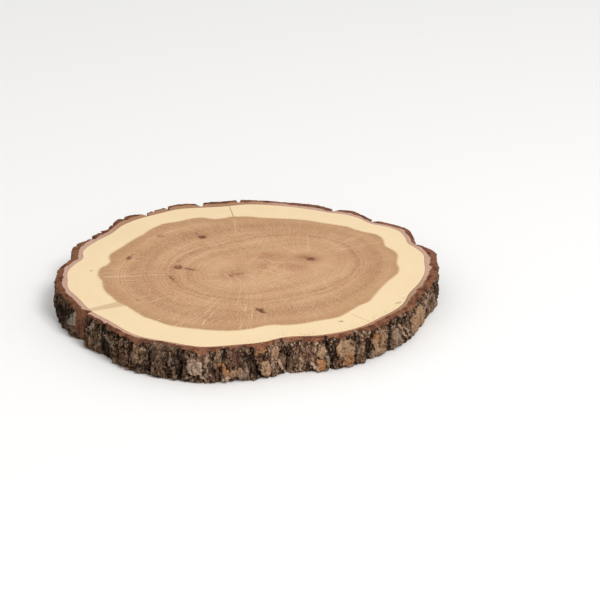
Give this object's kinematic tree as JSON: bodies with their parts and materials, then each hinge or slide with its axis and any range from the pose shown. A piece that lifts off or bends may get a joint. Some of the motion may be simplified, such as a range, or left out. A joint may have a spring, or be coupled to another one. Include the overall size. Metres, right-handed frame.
{
  "type": "wood slice",
  "caption": "Cross-cut slice of a hardwood trunk with its bark on: a flat, slightly oval disc with pale sapwood, tan heartwood and craggy bark, used as a coaster, stand or craft base.",
  "frame": {"origin": "centre of the slice's bounding box in plan, on the lower sawn face", "axes": "+Z out of the upper sawn face, +X along the longer axis of the oval, towards the side where the second, smaller pith lies"},
  "size_m": [0.2184, 0.1944, 0.02],
  "materials": {
    "wood": "dry, finely sanded end grain: cream sapwood round tan heartwood with growth rings and rays",
    "bark": "dry, rough furrowed bark: grey-brown plates with pale lichen, near-black furrows, red-brown cork where it is sawn"
  },
  "bodies": {
    "root": {"wood_slice": "wood"}
  },
  "joints": []
}
